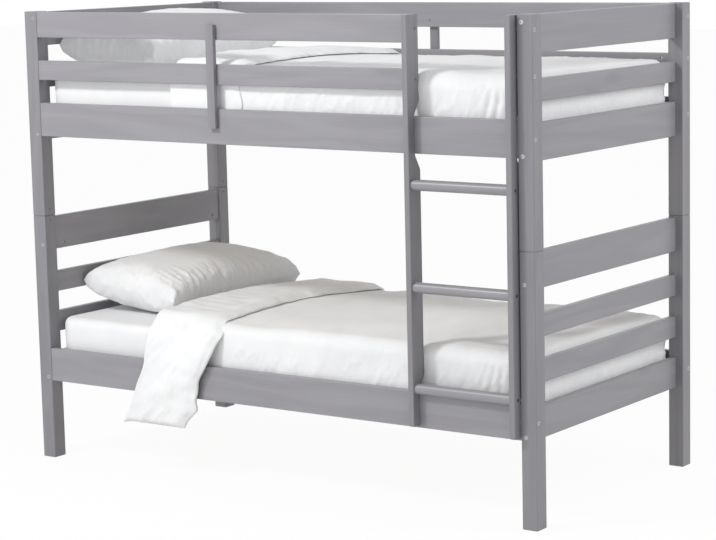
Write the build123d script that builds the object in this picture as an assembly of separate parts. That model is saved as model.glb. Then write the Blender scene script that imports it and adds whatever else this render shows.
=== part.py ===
from build123d import *
import os

# Frame of the bed, in millimetres
LENGTH = 2020.0
WIDTH = 1000.0
POST = 54.0
POST_EASE = 3.0
POST_CHAMFER = 2.0
JOINT_Z = 850.0
BOARD_T = 22.0
BOARD_EASE = 2.5
RAIL_RECESS = 3.0
END_SETBACK = 5.0

# Heights of the boards
LOWER_RAIL_Z = 274.0
RAIL_H = 114.0
UPPER_RAIL_UP = 276.0
GUARD_GAP = 78.0
GUARD_BAR_H = 66.0
GUARD_TOP_H = 86.0
TOP_DROP = 2.0
END_BOARD_H = 114.0
END_FOOT_H = 102.0
END_FOOT_DROP = 4.0
END_BAR_H = 71.0
END_BAR_GAP = 69.0
END_HEAD_DROP = 6.0
UPPER_END_DROP = 13.0
UPPER_END_BAR_H = 67.0
UPPER_END_GAP = 64.0

# Slats and the ledges that carry them
LEDGE_W = 28.0
LEDGE_H = 30.0
LEDGE_UP = 22.0
SLAT_W = 68.0
SLAT_T = 18.0
SLAT_COUNT = 13
SLAT_SIDE_GAP = 2.0
SLAT_END_GAP = 45.0
SLAT_EASE = 2.0

# Ladder
LADDER_GAP = 4.0
LADDER_INSIDE = 345.0
STILE_T = 20.0
STILE_D = 61.0
STILE_PROUD = 34.0
STILE_EASE = 3.0
STILE_FOOT_UP = 6.0
STILE_FOOT_ROUND = 12.0
NOTCH_CLEAR = 0.4
NOTCH_MARGIN = 4.0
NOTCH_RUN = 46.0
NOTCH_ROUND = 22.0
RUNG_PITCH = 316.0
RUNG_ABOVE_RAIL = 12.0
RUNG_H = 34.0
RUNG_D = 33.0
RUNG_ROUND = 16.0
RUNG_SETBACK = 5.0
RUNG_HOUSING = 5.0
RUNG_COUNT = 3
HOUSING_CLEAR = 0.1

# Battens that tie the guard boards together
STRUT_W = 32.0
STRUT_T = 16.0
STRUT_EASE = 2.5
STRUT_LOW_LAP = 62.0
STRUT_HIGH_LAP = 49.0
FRONT_STRUT_X = 817.0

# Bolts, barrel nuts and dowels
BOLT_R = 3.0
BOLT_L = 100.0
BOLT_HOLE_R = 3.5
BOLT_HEAD_R = 7.0
BOLT_HEAD_T = 3.0
BOLT_SEAT_R = 7.3
BOLT_SEAT_DEPTH = 3.2
HEX_R = 2.6
HEX_DEPTH = 2.0
NUT_R = 5.0
NUT_L = 16.0
NUT_BORE_R = 3.05
NUT_HOLE_R = 5.1
NUT_FROM_END = 40.0
BOLT_HOLE_SPARE = 3.0
END_BOLT_UP = 20.0
TOP_BOLT_DROP = 21.0
FOOT_BOLT_UP = 16.0
GUARD_BAR_BOLT_UP = 50.0
DOWEL_R = 4.0
DOWEL_L = 40.0
DOWEL_CLEAR = 0.05
DOWEL_END_GAP = 0.5
RAIL_DOWEL_OFFSET = 32.0
GUARD_TOP_DOWEL_UP = 20.0
GUARD_BAR_DOWEL_UP = 16.0
END_DOWEL_UP = 60.0
END_DOWEL_PITCH = 35.0
BAR_DOWEL_PITCH = 36.0

# Steel pins that join the two beds, and their grub screws
PIN_R = 5.0
PIN_CLEAR = 0.25
PIN_SEAT_CLEAR = 0.05
PIN_DOWN = 60.0
PIN_UP = 40.0
PIN_HOLE_SPARE = 4.0
PIN_CHAMFER = 1.0
GRUB_R = 2.5
GRUB_CLEAR = 0.05
GRUB_SUNK = 3.0
GRUB_BACK_OFF = 1.0
GRUB_HEX_R = 1.4
GRUB_HEX_DEPTH = 2.5
GRUB_BELOW = 16.0
GRUB_ABOVE = 22.0

# Wood screws
SCREW_R = 2.5
SCREW_HEAD_R = 5.5
SCREW_HEAD_T = 2.6
SCREW_SUNK = 0.3
SCREW_CLEAR = 0.1
RUNG_SCREW_L = 60.0
GUARD_SCREW_L = 60.0
STRUT_SCREW_L = 32.0
STILE_SCREW_L = 48.0
STILE_SCREW_PITCH = 40.0
SPACER_R = 9.0
LEDGE_SCREW_L = 40.0
LEDGE_SCREW_COUNT = 5
LEDGE_SCREW_INSET = 150.0
SLAT_SCREW_L = 40.0
SLAT_SCREW_R = 2.0
SLAT_SCREW_HEAD_R = 4.0
SLAT_SCREW_HEAD_T = 2.2

# Mattress, pillow and duvet
SEAT_CLEAR = 0.3
MATTRESS_T = 150.0
MATTRESS_END_GAP = 6.0
MATTRESS_SIDE_GAP = 25.0
MATTRESS_CORNER = 45.0
MATTRESS_EDGE = 20.0
PILLOW_L = 700.0
PILLOW_W = 430.0
PILLOW_T = 150.0
PILLOW_TIP = 6.0
PILLOW_DRAW_IN = 14.0
PILLOW_TILT = 18.0
PILLOW_HEAD_GAP = 5.0
LOWER_PILLOW_Y = 35.0
UPPER_PILLOW_Y = -25.0
DUVET_SIDE_T = 17.0
DUVET_TUCK_UP = 16.0
DUVET_SHOULDER = 20.0
DUVET_CROWN = 52.0
DUVET_FOLD = 18.0
DUVET_ROUND = 26.0
DUVET_FOOT_GAP = 24.0
LOWER_DUVET_X = 500.0
UPPER_DUVET_X = 615.0
DUVET_BAND = 295.0
TAIL_T = 22.0
TAIL_W = 258.0
TAIL_LEAN = 0.42
TAIL_FOOT_Z = 170.0
TAIL_WAVE = 9.0
TAIL_WAVES = 4
TAIL_OFF_RAIL = 0.8

# Places worked out from the sizes above
HALF_L = LENGTH / 2
HALF_W = WIDTH / 2
POST_CX = HALF_L - POST / 2
POST_CY = HALF_W - POST / 2
INNER_X = HALF_L - POST
INNER_Y = HALF_W - POST
RAIL_OUT = HALF_W - RAIL_RECESS
RAIL_IN = RAIL_OUT - BOARD_T
RAIL_MID = (RAIL_OUT + RAIL_IN) / 2
END_IN = INNER_X + END_SETBACK
END_OUT = END_IN + BOARD_T
END_MID = (END_IN + END_OUT) / 2
LOWER_RAIL_TOP = LOWER_RAIL_Z + RAIL_H
UPPER_RAIL_Z = JOINT_Z + UPPER_RAIL_UP
UPPER_RAIL_TOP = UPPER_RAIL_Z + RAIL_H
GUARD_BAR_Z = UPPER_RAIL_TOP + GUARD_GAP
GUARD_TOP_Z = GUARD_BAR_Z + GUARD_BAR_H + GUARD_GAP
BOARD_TOP = GUARD_TOP_Z + GUARD_TOP_H
HEIGHT = BOARD_TOP + TOP_DROP
END_FOOT_Z = LOWER_RAIL_Z - END_FOOT_DROP
END_BAR_1_Z = END_FOOT_Z + END_FOOT_H + END_BAR_GAP
END_BAR_2_Z = END_BAR_1_Z + END_BAR_H + END_BAR_GAP
END_HEAD_Z = JOINT_Z - END_HEAD_DROP - END_BOARD_H
UPPER_END_Z = UPPER_RAIL_TOP - UPPER_END_DROP - END_BOARD_H
UPPER_END_BAR_Z = UPPER_END_Z + END_BOARD_H + UPPER_END_GAP
UPPER_HEAD_Z = BOARD_TOP - END_BOARD_H
RIGHT_STILE_X = INNER_X - LADDER_GAP - STILE_T
LEFT_STILE_X = RIGHT_STILE_X - LADDER_INSIDE - STILE_T
STILE_FRONT = RAIL_OUT + STILE_PROUD
STILE_BACK = STILE_FRONT - STILE_D
STILE_FOOT = LOWER_RAIL_Z + STILE_FOOT_UP
RUNG_Y = -(STILE_FRONT - RUNG_SETBACK - RUNG_D / 2)
RUNG_1_Z = LOWER_RAIL_TOP + RUNG_ABOVE_RAIL
STRUT_OUT = RAIL_OUT + STRUT_T
CENTRE_Y = (STRUT_OUT - STILE_FRONT) / 2
SLAT_Z = {"lower": LOWER_RAIL_Z + LEDGE_UP + LEDGE_H, "upper": UPPER_RAIL_Z + LEDGE_UP + LEDGE_H}
LEDGE_Z = {"lower": LOWER_RAIL_Z + LEDGE_UP, "upper": UPPER_RAIL_Z + LEDGE_UP}
MATTRESS_X = INNER_X - MATTRESS_END_GAP
MATTRESS_Y = RAIL_IN - MATTRESS_SIDE_GAP
MATTRESS_Z = {"lower": SLAT_Z["lower"] + SLAT_T, "upper": SLAT_Z["upper"] + SLAT_T}

X_WAY = Vector(1, 0, 0)
Y_WAY = Vector(0, 1, 0)
Z_WAY = Vector(0, 0, 1)
LOW = (Align.CENTER, Align.CENTER, Align.MIN)


def block(x, y, z):
    """Box between two X, two Y and two Z values."""
    size = (x[1] - x[0], y[1] - y[0], z[1] - z[0])
    return Pos((x[0] + x[1]) / 2, (y[0] + y[1]) / 2, (z[0] + z[1]) / 2) * Box(*size)


def rod(start, way, length, radius):
    """Round rod that starts at a point and runs along a direction."""
    return Plane(origin=start, z_dir=way) * Cylinder(radius, length, align=LOW)


def eased(shape, axis, radius):
    """Shape with the edges that run along one axis rounded."""
    return fillet(shape.edges().filter_by(axis), radius)


def save(node, solids):
    """Write one node, moved so that the part's box is centred on the origin."""
    placed = [Pos(0, -CENTRE_Y, 0) * solid for solid in solids]
    export_step(Compound(children=placed), f"parts/{node}.step")


# Where each board meets a post: bolts and dowels
def rail_fixings(z, height):
    """Bolt height and dowel heights of a side rail's end."""
    middle = z + height / 2
    return middle, [middle - RAIL_DOWEL_OFFSET, middle + RAIL_DOWEL_OFFSET]


def side_boards():
    """Side boards: bed, side, bottom, height, bolt height, dowel heights and the posts they reach."""
    low_bolt, low_dowels = rail_fixings(LOWER_RAIL_Z, RAIL_H)
    up_bolt, up_dowels = rail_fixings(UPPER_RAIL_Z, RAIL_H)
    bar_bolt = GUARD_BAR_Z + GUARD_BAR_BOLT_UP
    bar_dowels = [GUARD_BAR_Z + GUARD_BAR_DOWEL_UP]
    top_bolt = GUARD_TOP_Z + GUARD_TOP_H / 2
    top_dowels = [GUARD_TOP_Z + GUARD_TOP_DOWEL_UP]
    boards = {}
    for side, word in ((-1, "front"), (1, "back")):
        ends = (-1, 1) if side > 0 else (-1,)
        boards[f"lower_side_rail_{word}"] = ("lower", side, LOWER_RAIL_Z, RAIL_H, low_bolt, low_dowels, (-1, 1))
        boards[f"upper_side_rail_{word}"] = ("upper", side, UPPER_RAIL_Z, RAIL_H, up_bolt, up_dowels, (-1, 1))
        boards[f"{word}_guard_lower_board"] = ("upper", side, GUARD_BAR_Z, GUARD_BAR_H, bar_bolt, bar_dowels, ends)
        boards[f"{word}_guard_top_board"] = ("upper", side, GUARD_TOP_Z, GUARD_TOP_H, top_bolt, top_dowels, ends)
    return boards


def end_boards():
    """End boards: bed, end, bottom, height, bolt height or None, dowel heights."""
    boards = {}
    for end, word in ((-1, "left"), (1, "right")):
        boards[f"lower_{word}_end_foot_board"] = (
            "lower", end, END_FOOT_Z, END_FOOT_H, END_FOOT_Z + FOOT_BOLT_UP,
            [END_FOOT_Z + END_DOWEL_UP])
        for number, z in ((1, END_BAR_1_Z), (2, END_BAR_2_Z)):
            middle = z + END_BAR_H / 2
            boards[f"lower_{word}_end_bar_{number}"] = (
                "lower", end, z, END_BAR_H, None,
                [middle - BAR_DOWEL_PITCH / 2, middle + BAR_DOWEL_PITCH / 2])
        boards[f"lower_{word}_end_head_board"] = (
            "lower", end, END_HEAD_Z, END_BOARD_H, END_HEAD_Z + END_BOLT_UP,
            [END_HEAD_Z + END_DOWEL_UP, END_HEAD_Z + END_DOWEL_UP + END_DOWEL_PITCH])
        boards[f"upper_{word}_end_foot_board"] = (
            "upper", end, UPPER_END_Z, END_BOARD_H, UPPER_END_Z + END_BOLT_UP,
            [UPPER_END_Z + END_DOWEL_UP, UPPER_END_Z + END_DOWEL_UP + END_DOWEL_PITCH])
        middle = UPPER_END_BAR_Z + UPPER_END_BAR_H / 2
        boards[f"upper_{word}_end_bar"] = (
            "upper", end, UPPER_END_BAR_Z, UPPER_END_BAR_H, None,
            [middle - BAR_DOWEL_PITCH / 2, middle + BAR_DOWEL_PITCH / 2])
        boards[f"upper_{word}_end_head_board"] = (
            "upper", end, UPPER_HEAD_Z, END_BOARD_H, BOARD_TOP - TOP_BOLT_DROP,
            [BOARD_TOP - END_DOWEL_UP, BOARD_TOP - END_DOWEL_UP - END_DOWEL_PITCH])
    return boards


SIDE_BOARDS = side_boards()
END_BOARDS = end_boards()


def bolt_places(bed):
    """Every frame bolt of one bed: its start on the post's outer face and its direction."""
    places = []
    for board_bed, side, z, height, bolt_z, dowels, ends in SIDE_BOARDS.values():
        for end in (-1, 1):
            if board_bed == bed:
                places.append((Vector(end * HALF_L, side * RAIL_MID, bolt_z), Vector(-end, 0, 0), end in ends))
    for board_bed, end, z, height, bolt_z, dowels in END_BOARDS.values():
        for side in (-1, 1):
            if board_bed == bed and bolt_z is not None:
                places.append((Vector(end * END_MID, side * HALF_W, bolt_z), Vector(0, -side, 0), True))
    return places


def dowel_places(bed):
    """Every dowel of one bed: its centre on the joint face and its direction."""
    places = []
    for board_bed, side, z, height, bolt_z, dowels, ends in SIDE_BOARDS.values():
        for end in ends:
            for dowel_z in dowels:
                if board_bed == bed:
                    places.append((Vector(end * INNER_X, side * RAIL_MID, dowel_z), X_WAY))
    for board_bed, end, z, height, bolt_z, dowels in END_BOARDS.values():
        for side in (-1, 1):
            for dowel_z in dowels:
                if board_bed == bed:
                    places.append((Vector(end * END_MID, side * INNER_Y, dowel_z), Y_WAY))
    return places


def near_post(point, end, side):
    """True where a point belongs to the post at that end and side."""
    return point.X * end > 0 and point.Y * side > 0


def post_tools(bed, end, side):
    """Holes through one post for its bolts and dowels."""
    tools = []
    for start, way, reaches_board in bolt_places(bed):
        if near_post(start, end, side):
            tools.append(rod(start, way, POST, BOLT_HOLE_R))
            tools.append(rod(start, way, BOLT_SEAT_DEPTH, BOLT_SEAT_R))
    for centre, way in dowel_places(bed):
        if near_post(centre, end, side):
            tools.append(dowel_hole(centre, way))
    return tools


def dowel_hole(centre, way):
    """Hole for one dowel, in both of the pieces that it joins."""
    length = DOWEL_L + 2 * DOWEL_END_GAP
    return rod(centre - way * (length / 2), way, length, DOWEL_R + DOWEL_CLEAR)


def grub_hole(end, side, z):
    """Threaded hole from the post's inner face to the pin in its middle."""
    start = Vector(end * INNER_X, side * POST_CY, z)
    return rod(start, X_WAY * end, POST / 2, GRUB_R + GRUB_CLEAR)


def post(bed, end, side):
    """Square post with eased edges, a chamfer where it meets its neighbour, and its holes."""
    z = (0, JOINT_Z) if bed == "lower" else (JOINT_Z, HEIGHT)
    x = sorted((end * INNER_X, end * HALF_L))
    y = sorted((side * INNER_Y, side * HALF_W))
    body = eased(block(x, y, z), Axis.Z, POST_EASE)
    body = chamfer(body.faces().sort_by(Axis.Z)[0].edges(), POST_CHAMFER)
    body = chamfer(body.faces().sort_by(Axis.Z)[-1].edges(), POST_CHAMFER)
    foot = Vector(end * POST_CX, side * POST_CY, JOINT_Z)
    if bed == "lower":
        pin_hole = rod(foot, -Z_WAY, PIN_DOWN, PIN_R + PIN_SEAT_CLEAR)
        cross_hole = grub_hole(end, side, JOINT_Z - GRUB_BELOW)
    else:
        pin_hole = rod(foot, Z_WAY, PIN_UP + PIN_HOLE_SPARE, PIN_R + PIN_CLEAR)
        cross_hole = grub_hole(end, side, JOINT_Z + GRUB_ABOVE)
    return body - [pin_hole, cross_hole] - post_tools(bed, end, side)


def board_bolt_tools(start, way):
    """Bolt hole in a board's end, and the cross hole for its barrel nut."""
    face = start + way * POST
    depth = BOLT_SEAT_DEPTH + BOLT_L - POST + BOLT_HOLE_SPARE
    cross = Y_WAY if abs(way.X) > 0.5 else X_WAY
    inward = -1 if (start.Y if abs(way.X) > 0.5 else start.X) > 0 else 1
    nut = face + way * NUT_FROM_END - cross * inward * (NUT_L / 2)
    return [rod(face, way, depth, BOLT_HOLE_R), rod(nut, cross * inward, BOARD_T, NUT_HOLE_R)]


def side_board_span(name):
    """X limits of a side board: full length, or from the left post to the ladder."""
    ends = SIDE_BOARDS[name][6]
    return (-INNER_X, INNER_X if 1 in ends else LEFT_STILE_X)


def side_board(name):
    """Side rail or guard board, drilled for its bolts, dowels and screws."""
    bed, side, z, height, bolt_z, dowels, ends = SIDE_BOARDS[name]
    x = side_board_span(name)
    y = sorted((side * RAIL_IN, side * RAIL_OUT))
    body = eased(block(x, y, (z, z + height)), Axis.X, BOARD_EASE)
    tools = []
    for end in ends:
        tools += board_bolt_tools(Vector(end * HALF_L, side * RAIL_MID, bolt_z), Vector(-end, 0, 0))
        tools += [dowel_hole(Vector(end * INNER_X, side * RAIL_MID, dowel_z), X_WAY) for dowel_z in dowels]
    for start, way, length in guard_screws():
        tools.append(rod(start, way, length + SCREW_CLEAR, SCREW_R + SCREW_CLEAR))
    for start, way in ledge_screws(bed):
        tools.append(rod(start, way, LEDGE_SCREW_L + SCREW_CLEAR, SCREW_R + SCREW_CLEAR))
    for start, way, length in stile_screws() + strut_screws():
        tools.append(screw_hole(start, way, length))
    return body - [tool for tool in tools if overlaps(tool, body)]


def overlaps(tool, body):
    """True where two boxes round the shapes meet."""
    return tool.bounding_box().overlaps(body.bounding_box())


def end_board(name):
    """End board between a front and a back post, drilled for its bolts and dowels."""
    bed, end, z, height, bolt_z, dowels = END_BOARDS[name]
    x = sorted((end * END_IN, end * END_OUT))
    body = eased(block(x, (-INNER_Y, INNER_Y), (z, z + height)), Axis.Y, BOARD_EASE)
    tools = []
    for side in (-1, 1):
        tools += [dowel_hole(Vector(end * END_MID, side * INNER_Y, dowel_z), Y_WAY) for dowel_z in dowels]
        if bolt_z is not None:
            tools += board_bolt_tools(Vector(end * END_MID, side * HALF_W, bolt_z), Vector(0, -side, 0))
    return body - tools


# Slats, ledges and their screws
def slat_xs():
    """X of each slat's middle, evenly spaced between the end boards."""
    first = -INNER_X + SLAT_END_GAP + SLAT_W / 2
    pitch = -2 * first / (SLAT_COUNT - 1)
    return [first + pitch * number for number in range(SLAT_COUNT)]


def ledge_screws(bed):
    """Screws that run out through a ledge into its side rail."""
    z = LEDGE_Z[bed] + LEDGE_H / 2
    first = -INNER_X + LEDGE_SCREW_INSET
    pitch = -2 * first / (LEDGE_SCREW_COUNT - 1)
    xs = [first + pitch * number for number in range(LEDGE_SCREW_COUNT)]
    return [(Vector(x, side * (RAIL_IN - LEDGE_W), z), Y_WAY * side) for side in (-1, 1) for x in xs]


def slat_screws(bed):
    """Screws that hold each slat's ends down on the ledges."""
    z = SLAT_Z[bed] + SLAT_T
    y = RAIL_IN - LEDGE_W / 2
    return [(Vector(x, side * y, z), -Z_WAY) for side in (-1, 1) for x in slat_xs()]


def ledges(bed):
    """The two ledges of a bed, one on the inside of each side rail."""
    made = []
    for side in (-1, 1):
        y = sorted((side * (RAIL_IN - LEDGE_W), side * RAIL_IN))
        body = block((-INNER_X, INNER_X), y, (LEDGE_Z[bed], LEDGE_Z[bed] + LEDGE_H))
        tools = [screw_hole(start, way, LEDGE_SCREW_L) for start, way in ledge_screws(bed) if start.Y * side > 0]
        for start, way in slat_screws(bed):
            if start.Y * side > 0:
                tools.append(rod(start, way, SLAT_SCREW_L + SCREW_CLEAR, SLAT_SCREW_R + SCREW_CLEAR))
        made.append(body - tools)
    return made


def slats(bed):
    """The slats of a bed, laid across the two ledges."""
    y = RAIL_IN - SLAT_SIDE_GAP
    made = []
    for x in slat_xs():
        body = block((x - SLAT_W / 2, x + SLAT_W / 2), (-y, y), (SLAT_Z[bed], SLAT_Z[bed] + SLAT_T))
        body = eased(body, Axis.Y, SLAT_EASE)
        tools = []
        for start, way in slat_screws(bed):
            if start.X == x:
                tools.append(small_screw_hole(start, way))
        made.append(body - tools)
    return made


# Ladder
def stile_profile():
    """Outline of a stile seen from the side, stepped back round both side rails."""
    front = -STILE_FRONT
    back = -STILE_BACK
    seat = -RAIL_OUT
    low_seat = seat - NOTCH_CLEAR
    points = [
        (front, STILE_FOOT), (low_seat, STILE_FOOT),
        (low_seat, LOWER_RAIL_TOP + NOTCH_MARGIN), (back, LOWER_RAIL_TOP + NOTCH_MARGIN + NOTCH_RUN),
        (back, UPPER_RAIL_Z - NOTCH_MARGIN - NOTCH_RUN), (seat, UPPER_RAIL_Z - NOTCH_MARGIN),
        (seat, UPPER_RAIL_TOP + NOTCH_MARGIN), (back, UPPER_RAIL_TOP + NOTCH_MARGIN + NOTCH_RUN),
        (back, BOARD_TOP), (front, BOARD_TOP)]
    face = make_face(Plane.YZ * Polyline(*points, close=True))
    bends = face.vertices().filter_by(lambda v: STILE_FOOT + 1 < v.Z < BOARD_TOP - 1)
    face = fillet(bends, NOTCH_ROUND)
    foot = face.vertices().filter_by(lambda v: v.Z < STILE_FOOT + 1 and v.Y < front + 1)
    return fillet(foot, STILE_FOOT_ROUND)


def rung_z(number):
    """Height of a rung's middle, counted from the lowest."""
    return RUNG_1_Z + RUNG_PITCH * number


def rung_bar(x0, x1, z, grow):
    """Rung with rounded long edges, grown all round by a clearance."""
    y = (RUNG_Y - RUNG_D / 2 - grow, RUNG_Y + RUNG_D / 2 + grow)
    body = block((x0, x1), y, (z - RUNG_H / 2 - grow, z + RUNG_H / 2 + grow))
    return eased(body, Axis.X, RUNG_ROUND)


def rung(number):
    """One rung, housed a little way into both stiles."""
    z = rung_z(number)
    body = rung_bar(LEFT_STILE_X + STILE_T - RUNG_HOUSING, RIGHT_STILE_X + RUNG_HOUSING, z, 0)
    tools = [rod(s, w, n + SCREW_CLEAR, SCREW_R + SCREW_CLEAR) for s, w, n in rung_screws() if abs(s.Z - z) < 1]
    return body - tools


def rung_screws():
    """Screws through the stiles' outer faces into the rungs' ends."""
    places = []
    for number in range(RUNG_COUNT):
        places.append((Vector(LEFT_STILE_X, RUNG_Y, rung_z(number)), X_WAY, RUNG_SCREW_L))
        places.append((Vector(RIGHT_STILE_X + STILE_T, RUNG_Y, rung_z(number)), -X_WAY, RUNG_SCREW_L))
    return places


def guard_screws():
    """Screws through the left stile into the ends of the front guard boards."""
    x = LEFT_STILE_X + STILE_T
    top = GUARD_TOP_Z + GUARD_TOP_H / 2
    bar = GUARD_BAR_Z + GUARD_BAR_H / 2
    return [(Vector(x, -RAIL_MID, z), -X_WAY, GUARD_SCREW_L) for z in (top, bar)]


def strut_screws():
    """Screws from inside the bed through the boards into each batten, so that none shows on the outside."""
    places = []
    heights = (UPPER_RAIL_TOP - STRUT_LOW_LAP / 2, GUARD_BAR_Z + GUARD_BAR_H / 2, GUARD_TOP_Z + STRUT_HIGH_LAP / 2)
    for side, x in ((-1, FRONT_STRUT_X - HALF_L), (1, 0.0)):
        for z in heights:
            places.append((Vector(x, side * RAIL_IN, z), Y_WAY * side, STRUT_SCREW_L))
    return places


def stile_screws():
    """Screws from inside the upper side rail into the backs of the stiles."""
    middle = UPPER_RAIL_Z + RAIL_H / 2
    places = []
    for x in (LEFT_STILE_X + STILE_T / 2, RIGHT_STILE_X + STILE_T / 2):
        for z in (middle - STILE_SCREW_PITCH / 2, middle + STILE_SCREW_PITCH / 2):
            places.append((Vector(x, -RAIL_IN, z), -Y_WAY, STILE_SCREW_L))
    return places


def ladder_bolts():
    """Front right bolts that run on through the post into the right stile."""
    return [(start, way) for start, way, reaches_board in bolt_places("upper") if not reaches_board]


def stile(x):
    """Ladder stile, stepped round the rails, with rung housings and screw holes."""
    face = stile_profile()
    body = Pos(x, 0, 0) * extrude(face, STILE_T, dir=(1, 0, 0))
    front = [e for e in body.edges().filter_by(Axis.Z) if e.center().Y < -STILE_FRONT + 1]
    body = fillet(front, STILE_EASE)
    housed = (LEFT_STILE_X + STILE_T - RUNG_HOUSING, RIGHT_STILE_X + RUNG_HOUSING)
    tools = [rung_bar(*housed, rung_z(number), HOUSING_CLEAR) for number in range(RUNG_COUNT)]
    tools += [screw_hole(start, way, length) for start, way, length in rung_screws() + guard_screws()]
    for start, way, length in stile_screws():
        tools.append(rod(start, way, length + SCREW_CLEAR, SCREW_R + SCREW_CLEAR))
    tools += [rod(start, way, POST + LADDER_GAP + STILE_T, BOLT_HOLE_R) for start, way in ladder_bolts()]
    return body - [tool for tool in tools if overlaps(tool, body)]


def strut(side, x):
    """Batten outside the guard boards, from the side rail up to the top board."""
    y = sorted((side * RAIL_OUT, side * STRUT_OUT))
    z = (UPPER_RAIL_TOP - STRUT_LOW_LAP, GUARD_TOP_Z + STRUT_HIGH_LAP)
    body = block((x - STRUT_W / 2, x + STRUT_W / 2), y, z)
    body = eased(body, Axis.Z, STRUT_EASE)
    return body - [rod(start, way, length + SCREW_CLEAR, SCREW_R + SCREW_CLEAR)
                   for start, way, length in strut_screws() if start.Y * side > 0]


# Fasteners
def hexagon(start, way, depth, radius):
    """Hexagonal socket sunk into a head."""
    return extrude(Plane(origin=start, z_dir=way) * RegularPolygon(radius, 6), depth)


def bolt(start, way, length):
    """Socket-head bolt that seats in the post's counterbore."""
    seat = start + way * BOLT_SEAT_DEPTH
    head = rod(seat - way * BOLT_HEAD_T, way, BOLT_HEAD_T, BOLT_HEAD_R)
    head = head - hexagon(seat - way * BOLT_HEAD_T, way, HEX_DEPTH, HEX_R)
    return head + rod(seat, way, length, BOLT_R)


def frame_bolts(bed):
    """All frame bolts of one bed."""
    short = POST - BOLT_SEAT_DEPTH + LADDER_GAP + STILE_T
    return [bolt(start, way, BOLT_L if reaches_board else short) for start, way, reaches_board in bolt_places(bed)]


def barrel_nuts(bed):
    """Cross dowel nut on every bolt that ends in a board."""
    made = []
    for start, way, reaches_board in bolt_places(bed):
        if reaches_board:
            cross = Y_WAY if abs(way.X) > 0.5 else X_WAY
            centre = start + way * (POST + NUT_FROM_END)
            body = rod(centre - cross * (NUT_L / 2), cross, NUT_L, NUT_R)
            made.append(body - rod(centre - way * NUT_R * 2, way, NUT_R * 4, NUT_BORE_R))
    return made


def screw(start, way, length, radius, head_r, head_t, sunk):
    """Countersunk wood screw whose head lies just under the surface."""
    top = start + way * sunk
    head = Plane(origin=top, z_dir=way) * Cone(head_r, radius, head_t, align=LOW)
    return head + rod(top, way, length - sunk, radius)


def wood_screw(start, way, length):
    """Wood screw of the size used in the ladder, the battens and the rails."""
    return screw(start, way, length, SCREW_R, SCREW_HEAD_R, SCREW_HEAD_T, SCREW_SUNK)


def screw_hole(start, way, length):
    """Clearance hole and countersink for a wood screw."""
    wide = SCREW_HEAD_R + SCREW_CLEAR
    thin = SCREW_R + SCREW_CLEAR
    sink = Plane(origin=start + way * SCREW_SUNK, z_dir=way) * Cone(wide, thin, SCREW_HEAD_T, align=LOW)
    return rod(start, way, SCREW_SUNK, wide) + sink + rod(start, way, length + SCREW_CLEAR, thin)


def small_screw_hole(start, way):
    """Clearance hole and countersink for a slat screw."""
    wide = SLAT_SCREW_HEAD_R + SCREW_CLEAR
    thin = SLAT_SCREW_R + SCREW_CLEAR
    sink = Plane(origin=start + way * SCREW_SUNK, z_dir=way) * Cone(wide, thin, SLAT_SCREW_HEAD_T, align=LOW)
    return rod(start, way, SCREW_SUNK, wide) + sink + rod(start, way, SLAT_T, thin)


def slat_and_ledge_screws(bed):
    """Small screws in the slats and larger ones in the ledges."""
    made = [screw(s, w, SLAT_SCREW_L, SLAT_SCREW_R, SLAT_SCREW_HEAD_R, SLAT_SCREW_HEAD_T, SCREW_SUNK)
            for s, w in slat_screws(bed)]
    return made + [wood_screw(start, way, LEDGE_SCREW_L) for start, way in ledge_screws(bed)]


def dowels(bed):
    """Wooden dowels that locate the boards on the posts."""
    return [rod(centre - way * (DOWEL_L / 2), way, DOWEL_L, DOWEL_R) for centre, way in dowel_places(bed)]


def spacers():
    """Round spacers that fill the gap between the ladder and the post, on the bolts."""
    made = []
    for start, way in ladder_bolts():
        face = start + way * POST
        made.append(rod(face, way, LADDER_GAP, SPACER_R) - rod(face, way, LADDER_GAP, BOLT_HOLE_R))
    return made


def joining_pins():
    """Steel pins that stand in the lower posts and enter the upper ones."""
    made = []
    for end in (-1, 1):
        for side in (-1, 1):
            foot = Vector(end * POST_CX, side * POST_CY, JOINT_Z - PIN_DOWN)
            pin = rod(foot, Z_WAY, PIN_DOWN + PIN_UP, PIN_R)
            made.append(chamfer(pin.faces().sort_by(Axis.Z)[-1].edges(), PIN_CHAMFER))
    return made


def grub_screws(z, gap):
    """Grub screws in the posts' inner faces, with their tips a gap away from the pins."""
    made = []
    for end in (-1, 1):
        for side in (-1, 1):
            start = Vector(end * (INNER_X + GRUB_SUNK), side * POST_CY, z)
            way = X_WAY * end
            body = rod(start, way, POST / 2 - GRUB_SUNK - PIN_R - gap, GRUB_R)
            made.append(body - hexagon(start, way, GRUB_HEX_DEPTH, GRUB_HEX_R))
    return made


# Soft pieces
def mattress(bed):
    """Firm mattress with rounded corners and edges."""
    z = MATTRESS_Z[bed]
    body = block((-MATTRESS_X, MATTRESS_X), (-MATTRESS_Y, MATTRESS_Y), (z, z + MATTRESS_T))
    body = eased(body, Axis.Z, MATTRESS_CORNER)
    return fillet(body.edges().group_by(Axis.Z)[0] + body.edges().group_by(Axis.Z)[-1], MATTRESS_EDGE)


def lens(y, half_width, half_height):
    """Pillow section: two shallow arcs that meet at a seam on either side."""
    over = ThreePointArc((-half_width, 0), (0, half_height), (half_width, 0))
    under = ThreePointArc((half_width, 0), (0, -half_height), (-half_width, 0))
    return Plane(origin=(0, y, 0), x_dir=(1, 0, 0), z_dir=(0, -1, 0)) * make_face([over, under])


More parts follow.
